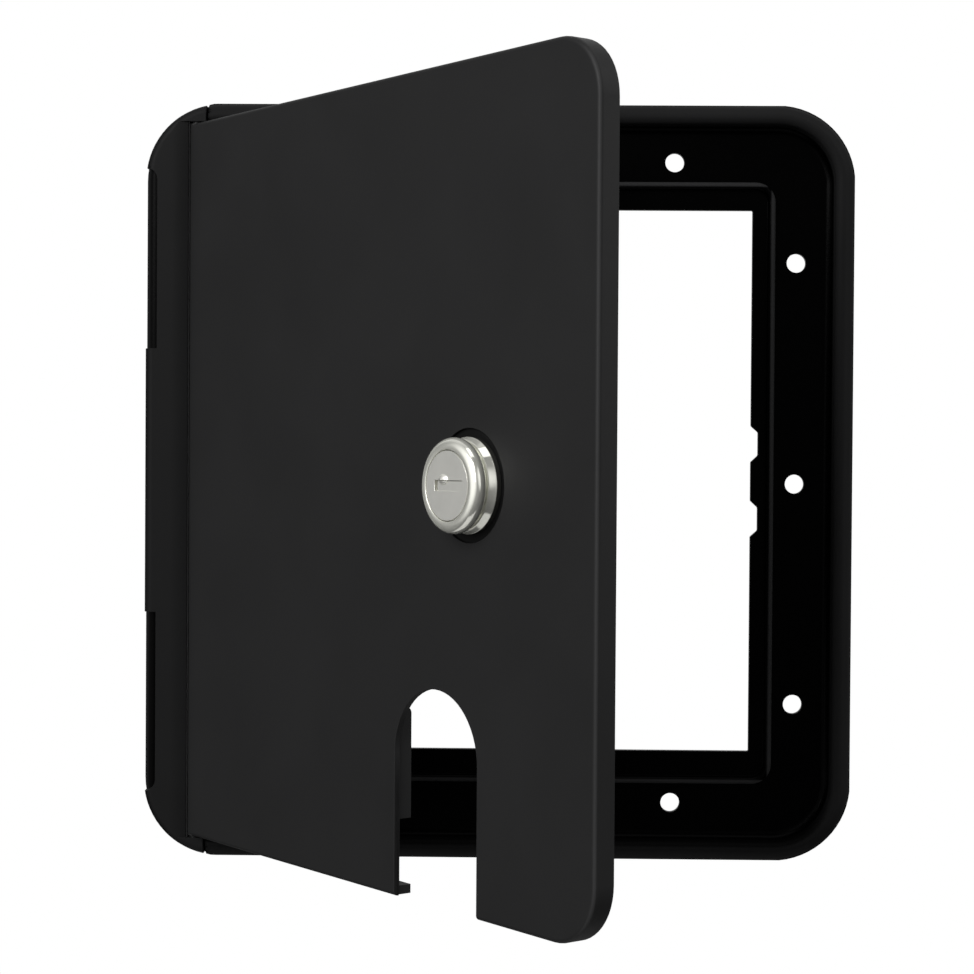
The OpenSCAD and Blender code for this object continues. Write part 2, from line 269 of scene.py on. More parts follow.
NIB_STRETCH = 1.6
NUT_RING = 0.98
NUT_SLOPE = math.tan(math.radians(30))
NUT_STEPS = 96
SCREW_STEPS = 96
DOME_STEP = 6
SKIRT_END = 50


# Meshes


def link_piece(name, mesh):
    """Object at the origin that holds a finished mesh."""
    piece = bpy.data.objects.new(name, mesh)
    bpy.context.scene.collection.objects.link(piece)
    return piece


def plain_mesh(name, shape):
    """Mesh that takes over a finished shape."""
    mesh = bpy.data.meshes.new(name)
    shape.to_mesh(mesh)
    shape.free()
    return mesh


def evaluated_mesh(piece):
    """Plain mesh that a piece's live modifiers make."""
    bpy.context.view_layer.update()
    graph = bpy.context.evaluated_depsgraph_get()
    return bpy.data.meshes.new_from_object(piece.evaluated_get(graph), depsgraph=graph)


def settle(piece):
    """Turns a piece with live modifiers into the plain mesh that they make."""
    mesh = evaluated_mesh(piece)
    piece.modifiers.clear()
    piece.data = mesh


def merged_copy(node, name):
    """Copy of a CAD node's mesh, its loose triangles merged and its flat faces joined."""
    shape = bmesh.new()
    shape.from_mesh(NODES[node].data)
    bmesh.ops.remove_doubles(shape, verts=shape.verts, dist=WELD)
    bmesh.ops.dissolve_limit(shape, angle_limit=FLAT, verts=shape.verts, edges=shape.edges)
    return plain_mesh(name, shape)


def smoothed(mesh):
    """Shades all of a mesh's faces smooth."""
    for face in mesh.polygons:
        face.use_smooth = True


def shift_where(mesh, chosen, moved):
    """Moves the points of a mesh that a test picks out."""
    for point in mesh.vertices:
        if chosen(point.co):
            point.co = moved(point.co)


def corners(points):
    """Lowest and highest corner of the box round some points."""
    return [min(p[k] for p in points) for k in range(3)], [max(p[k] for p in points) for k in range(3)]


def near_any(point, spots, reach):
    """Whether a point lies near one of some spots."""
    return any((point - spot).length < reach for spot in spots)


def sharp_edges(mesh, plain):
    """Ends of each sharp edge that doesn't stay plain, by the edge's number, and the mesh's skin."""
    shape = bmesh.new()
    shape.from_mesh(mesh)
    skin = BVHTree.FromBMesh(shape)
    ends = {}
    for edge in shape.edges:
        pair = [v.co.copy() for v in edge.verts]
        if edge.calc_face_angle(0.0) > SHARP and not (plain and all(map(plain, pair))):
            ends[edge.index] = pair
    shape.free()
    return ends, skin


def stray_spots(piece, skin, limit):
    """Spots from which a piece's rounding strays off its old skin."""
    trial = evaluated_mesh(piece)
    astray = {v.index for v in trial.vertices if skin.find_nearest(v.co)[3] > limit}
    spots = []
    for edge in trial.edges:
        inside = [k for k in edge.vertices if k not in astray]
        if len(inside) == 1:
            spots.append(trial.vertices[inside[0]].co.copy())
    bpy.data.meshes.remove(trial)
    return spots


def mark_facing(mesh):
    """Notes on each corner which way it faces at rest, for the materials."""
    facing = mesh.attributes.new("facing", "FLOAT_VECTOR", "CORNER")
    values = [part for normal in mesh.corner_normals for part in normal.vector]
    facing.data.foreach_set("vector", values)


def eased(node, name, radius, adjust=None, plain=None):
    """Piece with a CAD node's shape and its sharp edges rounded, but for the points that stay plain."""
    piece = link_piece(name, merged_copy(node, name))
    mesh = piece.data
    if adjust:
        adjust(mesh)
    ends, skin = sharp_edges(mesh, plain)
    weight = mesh.attributes.new("bevel_weight_edge", "FLOAT", "EDGE")
    for index in ends:
        weight.data[index].value = 1.0
    smoothed(mesh)
    bevel = piece.modifiers.new("edge_rounding", "BEVEL")
    bevel.width = radius
    bevel.segments = EDGE_STEPS
    bevel.limit_method = "WEIGHT"
    bevel.use_clamp_overlap = False
    even = piece.modifiers.new("even_shading", "WEIGHTED_NORMAL")
    even.weight = 100
    for _ in range(BEVEL_TRIES):
        spots = stray_spots(piece, skin, SPIKE * radius)
        if not spots:
            break
        for index, pair in ends.items():
            if any(near_any(end, spots, STRAY_REACH * radius) for end in pair):
                weight.data[index].value = 0.0
    low, high = corners([v.co for v in mesh.vertices])
    settle(piece)
    for point in piece.data.vertices:
        point.co = [min(max(point.co[k], low[k]), high[k]) for k in range(3)]
    mark_facing(piece.data)
    return piece


def ring_faces(shape, low, high):
    """Faces between two loops of points."""
    for k in range(len(low)):
        n = (k + 1) % len(low)
        shape.faces.new((low[k], low[n], high[n], high[k]))


def loft(name, rows, place, closed=True):
    """Mesh through rows of points, each row a loop, moved into place."""
    shape = bmesh.new()
    loops = [[shape.verts.new(place @ Vector(point)) for point in row] for row in rows]
    pairs = list(zip(loops, loops[1:]))
    if closed:
        pairs.append((loops[-1], loops[0]))
    for low, high in pairs:
        ring_faces(shape, low, high)
    bmesh.ops.remove_doubles(shape, verts=shape.verts, dist=WELD)
    bmesh.ops.recalc_face_normals(shape, faces=shape.faces)
    mesh = plain_mesh(name, shape)
    smoothed(mesh)
    mesh.set_sharp_from_angle(angle=SHARP)
    return link_piece(name, mesh)


def arc(centre_r, centre_h, radius, start, end, steps):
    """Points of an arc in a turned outline, angles in degrees from outward."""
    turns = [math.radians(start + (end - start) * k / steps) for k in range(steps + 1)]
    return [(centre_r + radius * math.cos(a), centre_h + radius * math.sin(a)) for a in turns]


def turned(name, outline, steps, closed=True):
    """Piece turned from an outline of radius and height about the lock's axis."""
    turns = [2 * math.pi * k / steps for k in range(steps)]
    rows = []
    for radius, height in outline:
        rows.append([(radius * math.cos(a) * MM, radius * math.sin(a) * MM, height * MM) for a in turns])
    return loft(name, rows, LOCK, closed)


def lock_place():
    """Place of the lock: x along the door, y up, z out of its face, origin on the face."""
    joint = JOINTS["lock_turn"]
    out = Vector(joint["axis"]).normalized()
    up = Vector(UP)
    across = up.cross(out)
    turn = Matrix((across, up, out)).transposed().to_4x4()
    return Matrix.Translation(Vector(joint["pos_m"])) @ turn


LOCK = lock_place()


def lock_box(node):
    """Lowest and highest corner of a CAD node in the lock's own axes, in millimetres."""
    back = LOCK.inverted()
    low, high = corners([back @ v.co for v in NODES[node].data.vertices])
    return [k / MM for k in low], [k / MM for k in high]


def finish_piece(piece, body, slot, material, *replaced):
    """Gives a finished piece its material and body, and hides the node that it stands for. The slot is not
    used.
    """
    piece.data.materials.clear()
    piece.data.materials.append(material)
    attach(piece, body)
    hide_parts(*replaced)


# Nodes


def new_material(name):
    """Node material, with its tree, its Principled shader and the place on the piece."""
    material = bpy.data.materials.new(name)
    material.use_nodes = True
    tree = material.node_tree
    place = add_node(tree, "ShaderNodeTexCoord").outputs["Object"]
    return material, tree, tree.nodes["Principled BSDF"], place


def add_node(tree, kind, **values):
    """Adds a node. Values named in_X go to input X, and the others are plain settings."""
    node = tree.nodes.new(kind)
    for key, value in values.items():
        if key.startswith("in_"):
            name = key[3:]
            socket = node.inputs[int(name)] if name.isdigit() else node.inputs[name.replace("_", " ")]
            socket.default_value = value
        else:
            setattr(node, key, value)
    return node


def joined(tree, operation, first, second=0.0):
    """Result of a plain sum on one or two values."""
    node = add_node(tree, "ShaderNodeMath", operation=operation)
    for slot, value in enumerate((first, second)):
        if isinstance(value, (int, float)):
            node.inputs[slot].default_value = value
        else:
            tree.links.new(value, node.inputs[slot])
    return node.outputs[0]


def product(tree, first, *others):
    """Product of some values."""
    for other in others:
        first = joined(tree, "MULTIPLY", first, other)
    return first


def ramp(tree, source, low, high, start=0.0, end=1.0):
    """Smooth step of a value between two marks."""
    node = add_node(
        tree, "ShaderNodeMapRange", interpolation_type="SMOOTHSTEP",
        in_1=low, in_2=high, in_3=start, in_4=end)
    tree.links.new(source, node.inputs[0])
    return node.outputs[0]


def spread(tree, source, middle, reach):
    """Maps the middle of a noise to a range about a value."""
    node = add_node(
        tree, "ShaderNodeMapRange", in_1=0.3, in_2=0.7, in_3=middle - reach, in_4=middle + reach)
    tree.links.new(source, node.inputs[0])
    return node.outputs[0]


def noise(tree, place, **settings):
    """Noise over a place."""
    node = add_node(tree, "ShaderNodeTexNoise", **settings)
    tree.links.new(place, node.inputs["Vector"])
    return node.outputs["Fac"]


def along(tree, source, axis):
    """Share of a direction that lies along an axis."""
    node = add_node(tree, "ShaderNodeVectorMath", operation="DOT_PRODUCT", in_1=axis)
    tree.links.new(source, node.inputs[0])
    return node.outputs["Value"]


def toward(tree, axis):
    """How squarely the surface faces an axis, from -1 to 1."""
    facing = add_node(tree, "ShaderNodeAttribute", attribute_name="facing")
    return along(tree, facing.outputs["Vector"], axis)


def flatness(tree, axis):
    """How squarely the surface lies across an axis, from 0 to 1."""
    return joined(tree, "ABSOLUTE", toward(tree, axis))


def off_middle(tree, source, middle):
    """Distance of a coordinate from a middle."""
    return joined(tree, "ABSOLUTE", joined(tree, "SUBTRACT", source, middle))


def split_up(tree, place):
    """X, Y and Z of a place."""
    node = add_node(tree, "ShaderNodeSeparateXYZ")
    tree.links.new(place, node.inputs[0])
    return node.outputs["X"], node.outputs["Y"], node.outputs["Z"]


def reach_from_axis(tree, place):
    """Distance of a place from its upright axis."""
    flat = add_node(tree, "ShaderNodeVectorMath", operation="MULTIPLY", in_1=(1.0, 1.0, 0.0))
    tree.links.new(place, flat.inputs[0])
    reach = add_node(tree, "ShaderNodeVectorMath", operation="LENGTH")
    tree.links.new(flat.outputs[0], reach.inputs[0])
    return reach.outputs["Value"]


def in_lock(tree, place):
    """Place in the lock's own axes."""
    centred = add_node(
        tree, "ShaderNodeMapping", vector_type="TEXTURE",
        in_Location=LOCK.to_translation(), in_Rotation=LOCK.to_euler())
    tree.links.new(place, centred.inputs["Vector"])
    return centred.outputs[0]


def tinted(tree, colour, factor):
    """Colour scaled by a factor socket."""
    node = add_node(tree, "ShaderNodeVectorMath", operation="SCALE")
    node.inputs[0].default_value = colour
    tree.links.new(factor, node.inputs["Scale"])
    return node.outputs[0]


def relief(tree, shader, source, depth):
    """Fine relief in a shader's surface."""
    bump = add_node(tree, "ShaderNodeBump", in_Strength=1.0, in_Distance=depth)
    tree.links.new(source, bump.inputs["Height"])
    tree.links.new(bump.outputs[0], shader.inputs["Normal"])


def mixed(tree, share, first, second, target):
    """Leads a mix of two shaders into a socket."""
    mix = add_node(tree, "ShaderNodeMixShader")
    tree.links.new(share, mix.inputs[0])
    tree.links.new(first, mix.inputs[1])
    tree.links.new(second, mix.inputs[2])
    tree.links.new(mix.outputs[0], target)


# Marks between which a tone changes: how squarely the surface faces, up to 1, or a length

# Marks of the painted highlight along the door's rounded free edge
LEAF_OUTER = (0.75, 0.95)
LEAF_EDGE = (0.97, 0.8)
# Marks of the painted shade in the lock's recess
RECESS_SIDE = ((RECESS_RADIUS + 0.1) * MM, (RECESS_RADIUS + 0.3) * MM)
RECESS_DEPTH = (-0.05 * MM, -0.35 * MM)
STRIP_OUTER = (0.05, 0.8)
# Marks of the painted light on the strip's wall in the crease
CREASE_REACH = (1.95 * MM, 2.15 * MM)
CREASE_WALL = (0.7, 0.9)
FRAME_STEP = 0.4 * MM
FRAME_RISE = (0.9 * MM, 1.9 * MM)
FLANK_SLOPE = (0.6, 0.95)
LIP_WIDTH = (2.0 * MM, 2.4 * MM)
SEAT_SIDE = (-80.0 * MM, -81.0 * MM)
PAST_CREST = (-0.5 * MM, 0.1 * MM)
BACK_FACE = (0.3 * MM, 0.1 * MM)
LOW_RIM = (4.0 * MM, -8.5 * MM)
LOW_SLOPE = (0.0, 0.5)
BEZEL_FOOT = (0.25 * MM, 0.55 * MM)
# Painted shade: how much darker the lower rim is where it faces level and where it faces up
LOW_SHADE = (0.3, 0.85)
# Painted shade: tone of the bezel at its foot and above it
BEZEL_SHADE = (0.1, 1.0)
# How far noise moves a roughness or a tone
GRAIN_GLOSS = 0.04
FLOW_GLOSS = 0.02
FLOW_TONE = 0.06
PLATED_GLOSS = 0.2
SATIN_TONE = 0.03
FLOOR_TONE = 0.01
RING_DEPTH = 0.002 * MM


# Materials


def mould_grain(tree, shader, place, rough, depth):
    """Spark-eroded grain in the plastic's gloss and relief. Returns the gloss and the flow marks."""
    fine = noise(tree, place, in_Scale=2600.0, in_Detail=3.0, in_Roughness=0.6)
    flow = noise(tree, place, in_Scale=34.0, in_Detail=3.0, in_Roughness=0.5, in_Distortion=0.6)
    gloss = spread(tree, fine, rough, GRAIN_GLOSS)
    gloss = joined(tree, "ADD", gloss, spread(tree, flow, 0.0, FLOW_GLOSS))
    relief(tree, shader, fine, depth)
    return gloss, spread(tree, flow, 1.0, FLOW_TONE)


def leaf_tone(tree, place, finish):
    """Tone of the door: a painted highlight along its rounded free edge, and painted shade in the lock's
    recess.
    """
    out, across = LOCK.col[2].to_3d(), LOCK.col[0].to_3d()
    square = joined(tree, "MAXIMUM", flatness(tree, out), flatness(tree, across))
    outer = ramp(tree, toward(tree, (out + across).normalized()), *LEAF_OUTER)
    # Painted highlight on the door's rounded free edge
    edge = product(tree, ramp(tree, square, *LEAF_EDGE), outer, finish.door_edge_highlight - 1.0)
    # Painted shade in the lock's recess
    spot = in_lock(tree, place)
    near = ramp(tree, reach_from_axis(tree, spot), *RECESS_SIDE, 1.0, 0.0)
    deep = ramp(tree, split_up(tree, spot)[2], *RECESS_DEPTH)
    shade = joined(tree, "SUBTRACT", 1.0, product(tree, near, deep, finish.recess_dark))
    return product(tree, joined(tree, "ADD", edge, 1.0), shade)


def strip_tone(tree, place, finish):
    """Tone of the hinge strip: painted shade on its outer side, and painted light on its wall down in the
    crease.
    """
    # The strip is painted darker than the door, as painted shade
    share = finish.strip_shade
    # Painted shade on the strip's outer side
    side = ramp(tree, toward(tree, LEFT), *STRIP_OUTER, share, share * finish.strip_side_shade)
    from_hinge = add_node(
        tree, "ShaderNodeVectorMath", operation="SUBTRACT", in_1=Vector(JOINTS["door_hinge"]["pos_m"]))
    tree.links.new(place, from_hinge.inputs[0])
    # Painted light on the strip's wall in the crease
    close = ramp(tree, reach_from_axis(tree, from_hinge.outputs[0]), *CREASE_REACH, 1.0, 0.0)
    wall = ramp(tree, toward(tree, RIGHT), *CREASE_WALL)
    return joined(tree, "ADD", side, product(tree, close, wall, finish.crease_painted_light))


def door_plastic(finish, name, tone_of, gloss):
    """Black plastic of the door and the strip, its tone worked out by a rule for the piece."""
    material, tree, shader, place = new_material(name)
    rough, marks = mould_grain(tree, shader, place, finish.door_rough, finish.grain)
    tone = product(tree, marks, tone_of(tree, place, finish))
    tree.links.new(rough, shader.inputs["Roughness"])
    tree.links.new(tinted(tree, tuple(finish.door_colour), tone), shader.inputs["Base Color"])
    shader.inputs["Specular IOR Level"].default_value = gloss
    return material


def frame_tones(tree, place, finish):
    """How far the frame's plastic is painted grey, as painted light on the rim and flanks, rather than left
    smooth black, and the grey's tone.
    """
    x, y, z = split_up(tree, place)
    height = joined(tree, "MULTIPLY", y, -1.0)
    top = finish.flange_top
    above = ramp(tree, height, top, top + FRAME_STEP)
    rising = ramp(tree, height, top + FRAME_RISE[0], top + FRAME_RISE[1])
    crown = ramp(tree, height, finish.rim_from, finish.rim_from + FRAME_STEP)
    flank = ramp(tree, flatness(tree, INWARD), *FLANK_SLOPE, 1.0, 0.0)
    past_x = joined(tree, "SUBTRACT", off_middle(tree, x, 0.0), LIP_CREST[0])
    past_z = joined(tree, "SUBTRACT", off_middle(tree, z, HATCH_MIDDLE), LIP_CREST[1])
    past = joined(tree, "MAXIMUM", past_x, past_z)
    lip = ramp(tree, past, *LIP_WIDTH, 1.0, 0.0)
    under_strip = ramp(tree, x, *SEAT_SIDE)
    # Painted light on the raised rim and on the flanks that face sideways
    rim = product(tree, joined(tree, "MAXIMUM", crown, flank), joined(tree, "MAXIMUM", rising, under_strip))
    front = product(tree, joined(tree, "MAXIMUM", rim, lip), ramp(tree, past, *PAST_CREST), above)
    grey = joined(tree, "MAXIMUM", front, ramp(tree, height, *BACK_FACE))
    # Painted highlight along the lip's rounded edge
    lip_highlight = joined(tree, "ADD", product(tree, lip, above, finish.lip_highlight - 1.0), 1.0)
    # Painted shade on the lower rim, deepest where it faces up
    slope = ramp(tree, toward(tree, UP), *LOW_SLOPE, *LOW_SHADE)
    shade = joined(tree, "SUBTRACT", 1.0, product(tree, ramp(tree, z, *LOW_RIM), slope))
    return grey, product(tree, lip_highlight, shade)


def frame_plastic(finish):
    """Black plastic of the frame: smooth black flat flange, and a rougher rim and flanks painted greyer as
    painted light.
    """
    material, tree, shader, place = new_material("frame_plastic")
    rough, marks = mould_grain(tree, shader, place, finish.frame_rough, finish.grain)
    grey, tone = frame_tones(tree, place, finish)
    blend = add_node(tree, "ShaderNodeMix", data_type="VECTOR")
    tree.links.new(grey, blend.inputs[0])
    tree.links.new(tinted(tree, tuple(finish.frame_colour), marks), blend.inputs[4])
    tree.links.new(tinted(tree, tuple(finish.rim_lit_colour), product(tree, marks, tone)), blend.inputs[5])
    rougher = product(tree, grey, finish.rim_rough - finish.frame_rough)
    tree.links.new(joined(tree, "ADD", rough, rougher), shader.inputs["Roughness"])
    tree.links.new(blend.outputs[1], shader.inputs["Base Color"])
    shader.inputs["Specular IOR Level"].default_value = finish.frame_gloss
    return material


def foot_shade(tree, place):
    """Painted shade on the bezel's foot, a painted reflection of the black recess that it stands in."""
    return ramp(tree, split_up(tree, in_lock(tree, place))[2], *BEZEL_FOOT, *BEZEL_SHADE)


def plated_metal(name, colour, rough, tone, wear_scale, metallic=1.0, shade=None):
    """Plated metal with faint handling marks in its tone and gloss."""
    material, tree, shader, place = new_material(name)
    link = tree.links.new
    marks = noise(tree, place, in_Scale=wear_scale, in_Detail=4.0, in_Roughness=0.6)
    factor = spread(tree, marks, 1.0, tone)
    if shade:
        factor = product(tree, factor, shade(tree, place))
    link(tinted(tree, tuple(colour), factor), shader.inputs["Base Color"])
    link(spread(tree, marks, rough, rough * PLATED_GLOSS), shader.inputs["Roughness"])
    shader.inputs["Metallic"].default_value = metallic
    return material


def turned_satin(name, colour, rough, metallic):
    """Satin metal with fine rings about the lock's axis, as left by a lathe."""
    material, tree, shader, place = new_material(name)
    link = tree.links.new
    rings = add_node(
        tree, "ShaderNodeTexNoise", noise_dimensions="1D",
        in_Scale=9000.0, in_Detail=2.0, in_Roughness=0.7)
    link(reach_from_axis(tree, in_lock(tree, place)), rings.inputs["W"])
    cloud = noise(tree, place, in_Scale=260.0, in_Detail=2.0, in_Roughness=0.5)
    link(tinted(tree, tuple(colour), spread(tree, cloud, 1.0, SATIN_TONE)), shader.inputs["Base Color"])
    link(spread(tree, rings.outputs["Fac"], rough, GRAIN_GLOSS), shader.inputs["Roughness"])
    relief(tree, shader, rings.outputs["Fac"], RING_DEPTH)
    shader.inputs["Metallic"].default_value = metallic
    return material


# Pieces of the lock that a rule shapes

THREAD_INPUTS = (
    ("Radius", "Float"), ("Bore", "Float"), ("Flats", "Float"), ("Pitch", "Float"), ("Depth", "Float"),
    ("Low", "Float"), ("High", "Float"), ("Around", "Int"), ("Along", "Int"),
)
# Slope of the thread's flanks, width of its crest, and points on one turn of it
THREAD_SLOPE = 2.6
THREAD_CREST = 0.15
THREAD_POINTS = 12
# Least sine that the flats are divided by
LEAST_SINE = 0.01


def thread_points(tree, given, across, row):
    """X, Y and Z of the barrel's points, from their share of a turn and their row.

    The rows start at the bore's foot, climb the threaded wall and come back over the bore's top.
    """

    def calc(operation, *values):
        return joined(tree, operation, *values)

    angle = calc("MULTIPLY", across, 2 * math.pi)
    sine, cosine = calc("SINE", angle), calc("COSINE", angle)
    last = calc("SUBTRACT", given["Along"], 1.0)
    share = calc("DIVIDE", calc("SUBTRACT", row, 1.0), last)
    share = calc("MINIMUM", calc("MAXIMUM", share, 0.0), 1.0)
    unclosed = calc("LESS_THAN", row, calc("ADD", given["Along"], 1.5))
    span = calc("SUBTRACT", given["High"], given["Low"])
    rise = calc("MULTIPLY", calc("MULTIPLY", span, share), unclosed)
    height = calc("ADD", given["Low"], rise)
    phase = calc("SUBTRACT", calc("DIVIDE", height, given["Pitch"]), across)
    wave = calc("ABSOLUTE", calc("SUBTRACT", calc("FRACT", phase), 0.5))
    flank = calc("SUBTRACT", calc("MULTIPLY", wave, THREAD_SLOPE), THREAD_CREST)
    groove = calc("MINIMUM", calc("MAXIMUM", flank, 0.0), 1.0)
    crest = calc("SUBTRACT", given["Radius"], calc("MULTIPLY", groove, given["Depth"]))
    slope = calc("MAXIMUM", calc("ABSOLUTE", sine), LEAST_SINE)
    flat = calc("DIVIDE", calc("MULTIPLY", given["Flats"], 0.5), slope)
    wall = calc("SUBTRACT", calc("MINIMUM", crest, flat), given["Bore"])
    past_first = calc("GREATER_THAN", row, 0.5)
    before_last = calc("LESS_THAN", row, calc("ADD", given["Along"], 0.5))
    wall = calc("MULTIPLY", wall, calc("MULTIPLY", past_first, before_last))
    radius = calc("ADD", given["Bore"], wall)
    return calc("MULTIPLY", radius, cosine), calc("MULTIPLY", radius, sine), height


def thread_tree(material):
    """Node tree of a threaded tube with two flats, standing on the lock's axis."""
    tree = bpy.data.node_groups.new("threaded_barrel", "GeometryNodeTree")
    tree.is_modifier = True
    for name, kind in THREAD_INPUTS:
        tree.interface.new_socket(name, in_out="INPUT", socket_type="NodeSocket" + kind)
    tree.interface.new_socket("Geometry", in_out="OUTPUT", socket_type="NodeSocketGeometry")
    link = tree.links.new
    given = add_node(tree, "NodeGroupInput").outputs
    out = add_node(tree, "NodeGroupOutput")
    grid = add_node(tree, "GeometryNodeMeshGrid", in_Size_X=1.0, in_Size_Y=1.0)
    link(given["Around"], grid.inputs["Vertices X"])
    link(joined(tree, "ADD", given["Along"], 3.0), grid.inputs["Vertices Y"])
    spot = add_node(tree, "GeometryNodeInputPosition")
    across, up, _ = split_up(tree, spot.outputs[0])
    row = product(tree, joined(tree, "ADD", up, 0.5), joined(tree, "ADD", given["Along"], 2.0))
    point = add_node(tree, "ShaderNodeCombineXYZ")
    for source, socket in zip(thread_points(tree, given, across, row), point.inputs):
        link(source, socket)
    move = add_node(tree, "GeometryNodeSetPosition")
    link(grid.outputs["Mesh"], move.inputs["Geometry"])
    link(point.outputs[0], move.inputs["Position"])
    weld = add_node(tree, "GeometryNodeMergeByDistance", in_Distance=WELD)
    link(move.outputs[0], weld.inputs["Geometry"])
    real = add_node(tree, "GeometryNodeRealizeInstances")
    link(weld.outputs[0], real.inputs["Geometry"])
    finish = add_node(tree, "GeometryNodeSetMaterial", in_Material=material)
    link(real.outputs[0], finish.inputs["Geometry"])
    link(finish.outputs[0], out.inputs["Geometry"])
    return tree


def threaded_barrel(sizes, material):
    """The lock's barrel: a tube threaded outside, with two flats."""
    low, high = lock_box("lock_body")
    pitch = sizes.thread_pitch
    length = (high[2] - low[2]) * MM
    values = {
        "Radius": high[0] * MM, "Bore": BARREL_BORE * MM, "Flats": BARREL_FLATS * MM,
        "Pitch": pitch, "Depth": sizes.thread_depth,
        "Low": low[2] * MM, "High": high[2] * MM,
        "Around": sizes.turned_steps + 1, "Along": int(length / pitch * THREAD_POINTS) + 1,
    }
    piece = link_piece("threaded_barrel", bpy.data.meshes.new("threaded_barrel"))
    tree = thread_tree(material)
    nodes = piece.modifiers.new("thread", "NODES")
    nodes.node_group = tree
    for item in tree.interface.items_tree:
        if item.in_out == "INPUT":
            nodes[item.identifier] = values[item.name]
    settle(piece)
    mesh = piece.data
    shape = bmesh.new()
    shape.from_mesh(mesh)
    bmesh.ops.remove_doubles(shape, verts=shape.verts, dist=WELD)
    bmesh.ops.recalc_face_normals(shape, faces=shape.faces)
    shape.to_mesh(mesh)
    shape.free()
    mesh.transform(LOCK)
    smoothed(mesh)
    mesh.set_sharp_from_angle(angle=SHARP)
    return piece


def hex_nut():
    """The flat nut behind the door, its corners chamfered on both faces."""
    low, high = lock_box("lock_nut")
    half, back, front = high[0], low[2], high[2]
    ring = NUT_RING * half
    bore, edge = BARREL_RADIUS + FIT_GAP, NUT_BORE_EDGE
    rows = [[] for _ in range(8)]
    for k in range(NUT_STEPS):
        turn = 2 * math.pi * k / NUT_STEPS
        part = (turn + math.pi / 6) % (math.pi / 3) - math.pi / 6
        corner = half / math.cos(part)
        fall = max(0.0, corner - ring) * NUT_SLOPE
        outline = (
            (bore, back + edge), (bore + edge, back), (min(corner, ring), back), (corner, back + fall),
            (corner, front - fall), (min(corner, ring), front), (bore + edge, front), (bore, front - edge),
        )
        for row, (radius, height) in zip(rows, outline):
            row.append((radius * math.cos(turn) * MM, radius * math.sin(turn) * MM, height * MM))
    return loft("hex_nut", rows, LOCK)


def bezel(steps):
    """The bright ring: skirt, groove and rounded ring, turned in one piece."""
    low, high = lock_box("lock_bezel")
    shelf = lock_box("lock_body")[1][2]
    outer, seat, top = high[0], low[2], high[2]
    bore, mouth = BARREL_RADIUS + FIT_GAP, PLUG_RADIUS + PLUG_GAP
    ring_height = top - RING_RADIUS
    meet = math.degrees(math.asin((NECK_HEIGHT + SMALL_EDGE - ring_height) / RING_RADIUS))
    outline = [(bore, seat), (outer - SMALL_EDGE, seat), (outer, seat + SMALL_EDGE)]
    outline += arc(outer - SKIRT_EDGE, SKIRT_TURN, SKIRT_EDGE, 0, SKIRT_END, steps=6)
    outline += [(NECK_RADIUS + NECK_FLARE, NECK_HEIGHT - SMALL_EDGE), (NECK_RADIUS, NECK_HEIGHT)]
    outline += arc(RING_CENTRE, ring_height, RING_RADIUS, meet, 90, steps=40)
    outline += arc(mouth + SMALL_EDGE, top - SMALL_EDGE, SMALL_EDGE, 90, 180, steps=4)
    outline += [(mouth, shelf), (bore, shelf)]
    return turned("bright_bezel", outline, steps)


def cross_cutter(top):
    """Tapered cross that sinks into a screw's head from its top."""
    shape = bmesh.new()
    rows = []
    for height, reach in ((top - CROSS_DEPTH / 3, CROSS_REACH), (top + CROSS_DEPTH, CROSS_FOOT)):
        row = []
        for quarter in range(4):
            spin = Matrix.Rotation(quarter * math.pi / 2, 4, "Z")
            for across, beside in ((reach, -CROSS_HALF), (reach, CROSS_HALF), (CROSS_HALF, CROSS_HALF)):
                row.append(shape.verts.new(LOCK @ (spin @ Vector((across, beside, height)) * MM)))
        rows.append(row)
    ring_faces(shape, *rows)
    for row in rows:
        shape.faces.new(row)
    bmesh.ops.recalc_face_normals(shape, faces=shape.faces)
    return link_piece("cross_cutter", plain_mesh("cross_cutter", shape))


def cam_fastener():
    """Pan head screw with a cross recess, which holds the cam."""
    low, high = lock_box("cam_screw")
    top, end, head = low[2], high[2], high[0]
    under = top + HEAD_HEIGHT
    turns = [math.radians(a) for a in range(DOME_STEP, 91, DOME_STEP)]
    outline = [(0.0, top)]
    outline += [(head * math.sin(a), top + DOME_HEIGHT * (1.0 - math.cos(a))) for a in turns]
    outline += [(head, under - HEAD_EDGE), (head - HEAD_EDGE, under), (SHANK_RADIUS, under)]
    outline += [(SHANK_RADIUS, end), (0.0, end)]
    piece = turned("pan_head_screw", outline, SCREW_STEPS, closed=False)
    tool = cross_cutter(top)
    cut = piece.modifiers.new("cross_recess", "BOOLEAN")
    cut.object = tool
    cut.solver = "EXACT"
    settle(piece)
    bpy.data.objects.remove(tool)
    piece.data.set_sharp_from_angle(angle=SHARP)
    return piece


# Small changes to the shape of the solids


def widen_nib(mesh):
    """Stretches the keyway's round nib along the slot, as a pressed nib is."""
    back = LOCK.inverted()

    def on_nib(point):
        spot = back @ point / MM
        return math.hypot(spot.x - NIB_ACROSS, spot.y - NIB_UP) < NIB_REACH

    def stretched(point):
        spot = back @ point
        spot.x = (spot.x - NIB_ACROSS * MM) * NIB_STRETCH + NIB_ACROSS * MM
        return LOCK @ spot

    shift_where(mesh, on_nib, stretched)


